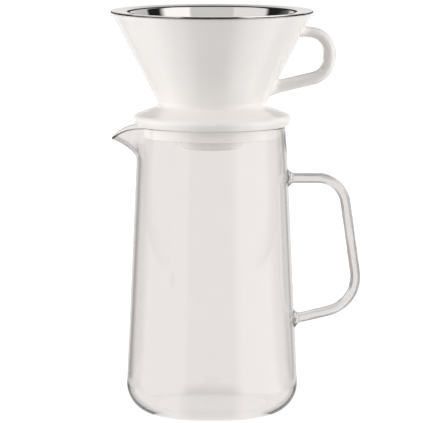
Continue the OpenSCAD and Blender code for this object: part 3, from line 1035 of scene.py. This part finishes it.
def slot_tree(material):
    """Geometry nodes that cut staggered rows of round-ended slots into a conical sheet."""
    tree = bpy.data.node_groups.new("slotted_sheet", "GeometryNodeTree")
    sockets = [("Sheet", "INPUT", "Geometry"), ("Rows", "INPUT", "Int"),
               *((name, "INPUT", "Float") for name in SLOT_SIZES),
               ("Slotted sheet", "OUTPUT", "Geometry")]
    for name, side, kind in sockets:
        tree.interface.new_socket(name, in_out=side, socket_type="NodeSocket" + kind)
    given = add(tree, "NodeGroupInput").outputs

    rise = calc(tree, "ADD", given["Slot height"], given["Band"])
    row = made(tree, "GeometryNodeInputIndex")
    start = vector(tree, Z=calc(tree, "ADD", given["Low height"], calc(tree, "MULTIPLY", row, rise)))
    rows = made(tree, "GeometryNodePoints", {"Count": given["Rows"], "Position": start})

    here = axes_of(tree, made(tree, "GeometryNodeInputPosition"))
    above = calc(tree, "SUBTRACT", here["Z"], given["Low height"])
    radius = calc(tree, "ADD", given["Low radius"], calc(tree, "MULTIPLY", above, given["Slope"]))
    around = calc(tree, "MULTIPLY", radius, 2 * pi)
    count = calc(tree, "FLOOR", calc(tree, "DIVIDE", around, given["Pitch"]))
    stagger = calc(tree, "MODULO", calc(tree, "ROUND", calc(tree, "DIVIDE", above, rise)), 2)
    copies = add(tree, "GeometryNodeDuplicateElements", {"Geometry": rows, "Amount": count},
                 domain="POINT").outputs
    step = calc(tree, "ADD", copies["Duplicate Index"], calc(tree, "MULTIPLY", stagger, 0.5))
    turn = calc(tree, "MULTIPLY", calc(tree, "DIVIDE", step, count), 2 * pi)
    half = calc(tree, "MULTIPLY", given["Slot height"], 0.5)
    reach = calc(tree, "ADD", radius, calc(tree, "MULTIPLY", half, given["Slope"]))
    spot = vector(tree, X=calc(tree, "MULTIPLY", reach, calc(tree, "COSINE", turn)),
                  Y=calc(tree, "MULTIPLY", reach, calc(tree, "SINE", turn)),
                  Z=calc(tree, "ADD", here["Z"], half))
    slots = made(tree, "GeometryNodeSetPosition", {"Geometry": copies[0], "Position": spot})

    oblong = made(tree, "GeometryNodeCurvePrimitiveQuadrilateral",
                  {"Width": given["Slot width"], "Height": given["Slot height"]})
    slot = made(tree, "GeometryNodeFilletCurve",
                {"Curve": oblong, "Count": SLOT_POINTS,
                 "Radius": calc(tree, "MULTIPLY", given["Slot width"], SLOT_ROUND)}, mode="POLY")
    near = vector(tree, Z=calc(tree, "MULTIPLY", given["Cut depth"], -1))
    far = vector(tree, Z=given["Cut depth"])
    path = made(tree, "GeometryNodeCurvePrimitiveLine", {"Start": near, "End": far})
    punch = made(tree, "GeometryNodeCurveToMesh",
                 {"Curve": path, "Profile Curve": slot, "Fill Caps": True})
    laid = made(tree, "GeometryNodeTransform", {"Geometry": punch, "Rotation": (pi / 2, 0, pi / 2)})
    facing = vector(tree, Z=calc(tree, "ARCTAN2", here["Y"], here["X"]))
    punches = made(tree, "GeometryNodeInstanceOnPoints",
                   {"Points": slots, "Instance": laid, "Rotation": facing})
    solid = made(tree, "GeometryNodeRealizeInstances", {"Geometry": punches})
    cut = made(tree, "GeometryNodeMeshBoolean", {"Mesh 1": given["Sheet"], "Mesh 2": solid},
               operation="DIFFERENCE")
    whole = made(tree, "GeometryNodeRealizeInstances", {"Geometry": cut})
    finish = made(tree, "GeometryNodeSetMaterial", {"Geometry": whole, "Material": material})
    add(tree, "NodeGroupOutput", {0: finish})
    return tree


def apply_tree(obj, tree, values):
    """Run a node tree on an object with its named inputs, and keep the result as a plain mesh."""
    modifier = obj.modifiers.new("slots", "NODES")
    modifier.node_group = tree
    for item in tree.interface.items_tree:
        if item.in_out == "INPUT" and item.name in values:
            modifier[item.identifier] = values[item.name]
    evaluated = obj.evaluated_get(bpy.context.evaluated_depsgraph_get())
    mesh = bpy.data.meshes.new_from_object(evaluated)
    obj.modifiers.remove(modifier)
    obj.data = mesh
    shade_smooth(mesh)


class BREWER_OT_slotted_cone(bpy.types.Operator):
    """Roll the slotted support cone of the filter"""
    bl_idname = "brewer.slotted_cone"
    bl_label = "Filter cone"

    def execute(self, context):
        size = context.scene.brewer_filter
        low = top_of("filter_base") + size.slot_band
        rise = size.slot_h + size.slot_band
        obj = turned("slotted_cone", plain(sheet_outline("filter_cone", size.cone_sheet)))
        apply_tree(obj, slot_tree(made_once(satin_steel)), {
            "Rows": floor((foot_of("filter_rim") - low) / rise),
            "Low height": low,
            "Low radius": layer("filter_cone")(low) - across(size.cone_sheet),
            "Slope": tan(context.scene.brewer_dripper.lean),
            "Slot width": size.slot_w,
            "Slot height": size.slot_h,
            "Pitch": size.slot_pitch,
            "Band": size.slot_band,
            "Cut depth": size.slot_h,
        })
        dress(obj, "filter", "pressed_steel", satin_steel, "filter_cone")
        return {"FINISHED"}


class BREWER_OT_mesh(bpy.types.Operator):
    """Roll the woven wire mesh that lines the slotted cone"""
    bl_idname = "brewer.mesh"
    bl_label = "Filter mesh"

    def execute(self, context):
        size = context.scene.brewer_filter
        roll = sin(context.scene.brewer_dripper.lean)

        def laid_flat(turn, r, z, run):
            return (r / roll * cos(turn * roll), r / roll * sin(turn * roll))
        obj = turned("mesh_liner", plain(sheet_outline("filter_mesh", size.mesh_t)), laid_flat)
        dress(obj, "filter", "steel_mesh", woven_wire, "filter_mesh")
        return {"FINISHED"}


class BREWER_OT_cup(bpy.types.Operator):
    """Press the cup that closes the bottom of the filter"""
    bl_idname = "brewer.cup"
    bl_label = "Filter cup"

    def execute(self, context):
        size = context.scene.brewer_filter
        width = across(size.cup_sheet)
        edge = EDGE_SHARE * size.cup_sheet
        outer_r = layer("filter_base")
        low = foot_of("filter_base")
        top = top_of("filter_base")
        inside = low + size.cup_sheet
        outline = rounded([(0, low, 0), (outer_r(low), low, size.cup_corner),
                           (outer_r(top), top, edge), (outer_r(top) - width, top, edge),
                           (outer_r(inside) - width, inside, size.cup_corner - size.cup_sheet),
                           (0, inside, 0)], RING_STEP, False)
        obj = turned("bottom_cup", plain(outline))
        dress(obj, "filter", "pressed_steel", satin_steel, "filter_base")
        return {"FINISHED"}


# Studio

# Table: its edges, the colour that lights the object from below, and that of its shadow as the
# camera sees it
FLOOR_HALF = 1.6
FLOOR_FRONT = -1.6
FLOOR_BACK = 2.6
TABLE_COLOUR = (0.8, 0.8, 0.8, 1)
SHADOW_COLOUR = (0.35, 0.35, 0.35, 1)
# Distances from the axis over which the table turns from plainly pale into a mirror of the light all
# round, over which its shadow fades, and over which it turns clear through glass, in an oval
NEAR_FLOOR = (0.07, 0.13)
SHADOW_FLOOR = [(0.12, 0.85), (0.45, 1)]
CLEAR_FLOOR = (0.1, 0.16)
CLEAR_OVAL = (0.5, 1, 1)
# Darker band of the table below the carafe, a painted reflection of the dark open front seen through
# glass:
# its stops across the table, at 0.5 plus X times the scale, and the distance from the axis over which it
# fades
PAINTED_REFLECTION_SCALE = 10
PAINTED_REFLECTION_STOPS = [(0.28, 1), (0.36, 0.86), (0.62, 0.86), (0.7, 1)]
PAINTED_REFLECTION_FADE = (0.06, 0.1)
# Heights over which the light from all round changes, as the upward part of a direction
MID_UP = (0.13, 0.42)
HIGH_UP = (0.6, 0.7)
TOP_UP = (0.82, 0.92)
BELOW = (0.05, 0.064)
# Spans over which a direction through glass becomes steep, and over which it leads aside
STEEP = (0.3, 0.34)
ASIDE = (0.16, 0.26)
# Share of the right softbox's light that is left beside it
BOX_SPILL = 1 / 3
# Lamps: their size, and the places of the right one, which the left one mirrors, and the top one
LAMP_SIZE = 0.9
SIDE_LAMP = Vector((1.25, -0.36, 0.32))
TOP_LAMP = Vector((0, -0.2, 1.5))


def low_light(studio):
    """Light from all round at table height, as (turn in degrees, level) stops. Turn 0 is the camera's
    side, and negative turns are to the left."""
    return [(-152, studio.backdrop), (-145, studio.left_shade), (-106, studio.left_shade),
            (-101, studio.left_box), (-37, studio.left_box), (-32, studio.gap), (28, studio.gap),
            (42, studio.right_foot), (88, studio.right_foot), (100, studio.right_box * BOX_SPILL),
            (114, studio.right_shade), (126, studio.right_shade), (132, studio.right_wall),
            (146, studio.right_wall), (152, studio.backdrop)]


def upper_light(studio, front):
    """Light from all round above the table: the two softboxes, and what is between them in front."""
    return [(-103, studio.ceiling), (-96, studio.left_box), (-42, studio.left_box), (-38, front),
            (38, front), (43, studio.right_box), (84, studio.right_box), (95, studio.ceiling),
            (115, studio.ceiling), (120, studio.right_wall), (150, studio.right_wall),
            (158, studio.ceiling)]


def glass_light(studio):
    """Light from all round as it shows through glass, which bends the view far to the sides."""
    return [(-169, studio.backdrop), (-161, studio.glass_shade), (-142, studio.glass_shade),
            (-132, studio.backdrop), (126, studio.backdrop), (132, studio.glass_line),
            (153, studio.glass_line), (160, studio.backdrop)]


def light_ring(tree, axes, stops):
    """Light that comes from a direction, from a ring of stops all round."""
    peak = max(amount for turn, amount in stops)
    turn = calc(tree, "ARCTAN2", axes["X"], calc(tree, "MULTIPLY", axes["Y"], -1))
    around = ramp(tree, calc(tree, "MULTIPLY_ADD", turn, 1 / (2 * pi), 0.5),
                  [(0.5 + degrees_round / 360, amount / peak) for degrees_round, amount in stops])
    return calc(tree, "MULTIPLY", around, peak)


def studio_floor(studio):
    """Pale table top. The camera sees it white with the object's shadow, and gloss sees the light all
    round in it. Through glass it is pale, with a darker band near the base that is a painted reflection
    of the dark open front, and clear further off."""
    material = bpy.data.materials.new("pale_table")
    tree = blank_tree(material)
    tint = (*studio.tint, 1)
    rays = add(tree, "ShaderNodeLightPath").outputs
    place = add(tree, "ShaderNodeTexCoord").outputs["Object"]
    axes = axes_of(tree, place)
    away = distance(tree, place)
    cloth = made(tree, "ShaderNodeBsdfDiffuse", {"Color": TABLE_COLOUR})
    shadow = made(tree, "ShaderNodeBsdfDiffuse", {"Color": SHADOW_COLOUR})
    white = made(tree, "ShaderNodeEmission", {"Strength": ramp(tree, away, SHADOW_FLOOR)})
    seen = made(tree, "ShaderNodeAddShader", {0: shadow, 1: white})
    mirrored = mixed(tree, rising(tree, away, *NEAR_FLOOR), studio.backdrop,
                     light_ring(tree, axes, low_light(studio)))
    glow = made(tree, "ShaderNodeEmission", {"Color": tint, "Strength": mirrored})
    # Painted reflection: a darker band across the table near the base, as glass shows it
    painted_reflection = ramp(tree, calc(tree, "MULTIPLY_ADD", axes["X"], PAINTED_REFLECTION_SCALE, 0.5), PAINTED_REFLECTION_STOPS)
    painted_reflection = mixed(tree, rising(tree, away, *PAINTED_REFLECTION_FADE), painted_reflection, 1)
    pale = made(tree, "ShaderNodeEmission",
                {"Color": tint, "Strength": calc(tree, "MULTIPLY", painted_reflection, studio.backdrop)})
    clear = made(tree, "ShaderNodeBsdfTransparent")
    further = rising(tree, distance(tree, place, CLEAR_OVAL), *CLEAR_FLOOR)
    through = made(tree, "ShaderNodeMixShader", {0: further, 1: pale, 2: clear})
    whole = cloth
    for ray, look in (("Is Glossy Ray", glow), ("Is Transmission Ray", through), ("Is Camera Ray", seen)):
        whole = made(tree, "ShaderNodeMixShader", {0: rays[ray], 1: whole, 2: look})
    add(tree, "ShaderNodeOutputMaterial", {"Surface": whole})
    return material


def studio_world(studio):
    """Light all round: a pale backdrop, two softboxes, dark flags and the open side in front."""
    world = bpy.data.worlds.new("studio")
    bpy.context.scene.world = world
    tree = blank_tree(world)
    rays = add(tree, "ShaderNodeLightPath").outputs
    axes = axes_of(tree, add(tree, "ShaderNodeTexCoord").outputs["Generated"])
    light = light_ring(tree, axes, low_light(studio))
    for heights, front in ((MID_UP, studio.gap), (HIGH_UP, studio.overhead)):
        upper = light_ring(tree, axes, upper_light(studio, front))
        light = mixed(tree, rising(tree, axes["Z"], *heights), light, upper)
    light = mixed(tree, rising(tree, axes["Z"], *TOP_UP), light, studio.zenith)
    down = calc(tree, "MULTIPLY", axes["Z"], -1)
    light = mixed(tree, rising(tree, down, *BELOW), light, studio.gap)
    steep = rising(tree, calc(tree, "ABSOLUTE", axes["Z"]), *STEEP)
    aside = rising(tree, calc(tree, "ABSOLUTE", axes["X"]), *ASIDE)
    through = mixed(tree, steep, light_ring(tree, axes, glass_light(studio)),
                    mixed(tree, aside, studio.glass_steep, studio.backdrop))
    light = mixed(tree, rays["Is Transmission Ray"], light, through)
    lit = made(tree, "ShaderNodeBackground", {"Color": (*studio.tint, 1), "Strength": light})
    white = made(tree, "ShaderNodeBackground", {"Color": (1, 1, 1, 1), "Strength": 1})
    whole = made(tree, "ShaderNodeMixShader", {0: rays["Is Camera Ray"], 1: lit, 2: white})
    add(tree, "ShaderNodeOutputWorld", {"Surface": whole})


def softbox_lamp(name, place, watts, studio):
    """Area lamp that lights the object's matt colours and doesn't show in gloss or through glass."""
    lamp = bpy.data.lights.new(name, "AREA")
    lamp.shape = "SQUARE"
    lamp.size = LAMP_SIZE
    lamp.energy = watts
    lamp.color = studio.tint
    obj = bpy.data.objects.new(name, lamp)
    bpy.context.scene.collection.objects.link(obj)
    obj.location = place
    obj.rotation_euler = (Vector(studio.aim) - obj.location).to_track_quat("-Z", "Y").to_euler()
    obj.visible_glossy = False
    obj.visible_transmission = False


class BREWER_OT_stage(bpy.types.Operator):
    """Set up the camera, the pale table and the light of the studio"""
    bl_idname = "brewer.stage"
    bl_label = "Studio"

    def execute(self, context):
        scene = context.scene
        studio = scene.brewer_studio
        scene.view_settings.view_transform = "Standard"
        camera = bpy.data.objects.new("camera", bpy.data.cameras.new("camera"))
        scene.collection.objects.link(camera)
        scene.camera = camera
        camera.data.lens = studio.lens
        camera.data.sensor_fit = "HORIZONTAL"
        back = Vector((0, -cos(studio.elevation), sin(studio.elevation)))
        camera.location = Vector(studio.aim) + back * studio.distance
        camera.rotation_euler = (-back).to_track_quat("-Z", "Y").to_euler()
        corners = [(-FLOOR_HALF, FLOOR_FRONT, 0), (FLOOR_HALF, FLOOR_FRONT, 0),
                   (FLOOR_HALF, FLOOR_BACK, 0), (-FLOOR_HALF, FLOOR_BACK, 0)]
        table = new_object("table", corners, [(0, 1, 2, 3)], [(0, 0), (1, 0), (1, 1), (0, 1)])
        table.data.materials.append(studio_floor(studio))
        studio_world(studio)
        softbox_lamp("left_lamp", SIDE_LAMP * Vector((-1, 1, 1)), studio.left_lamp, studio)
        softbox_lamp("right_lamp", SIDE_LAMP, studio.right_lamp, studio)
        softbox_lamp("top_lamp", TOP_LAMP, studio.top_lamp, studio)
        return {"FINISHED"}


class BREWER_PT_sidebar(bpy.types.Panel):
    """Lists the pieces of the brewer in the order they are made"""
    bl_idname = "BREWER_PT_sidebar"
    bl_label = "Coffee brewer"
    bl_space_type = "VIEW_3D"
    bl_region_type = "UI"
    bl_category = "Brewer"

    def draw(self, context):
        for step in STEPS:
            self.layout.operator(step.bl_idname)


GROUPS = {
    "brewer_carafe": CarafeSizes,
    "brewer_rod": RodSizes,
    "brewer_dripper": DripperSizes,
    "brewer_strap": StrapSizes,
    "brewer_filter": FilterSizes,
    "brewer_colours": FinishColours,
    "brewer_studio": StudioSettings,
}
STEPS = (BREWER_OT_stage, BREWER_OT_carafe, BREWER_OT_rod, BREWER_OT_cone, BREWER_OT_saucer,
         BREWER_OT_strap, BREWER_OT_rim, BREWER_OT_slotted_cone, BREWER_OT_mesh, BREWER_OT_cup)


def register():
    """Make the sizes, the operators and the panel known."""
    for name, group in GROUPS.items():
        bpy.utils.register_class(group)
        setattr(bpy.types.Scene, name, PointerProperty(type=group))
    for step in STEPS:
        bpy.utils.register_class(step)
    bpy.utils.register_class(BREWER_PT_sidebar)


def unregister():
    """Take back what register made known."""
    bpy.utils.unregister_class(BREWER_PT_sidebar)
    for step in reversed(STEPS):
        bpy.utils.unregister_class(step)
    for name, group in reversed(list(GROUPS.items())):
        delattr(bpy.types.Scene, name)
        bpy.utils.unregister_class(group)


def main():
    """Make every piece in order."""
    register()
    bpy.ops.brewer.stage()
    bpy.ops.brewer.carafe()
    bpy.ops.brewer.rod()
    bpy.ops.brewer.cone()
    bpy.ops.brewer.saucer()
    bpy.ops.brewer.strap()
    bpy.ops.brewer.rim()
    bpy.ops.brewer.slotted_cone()
    bpy.ops.brewer.mesh()
    bpy.ops.brewer.cup()


if __name__ == "__main__":
    main()
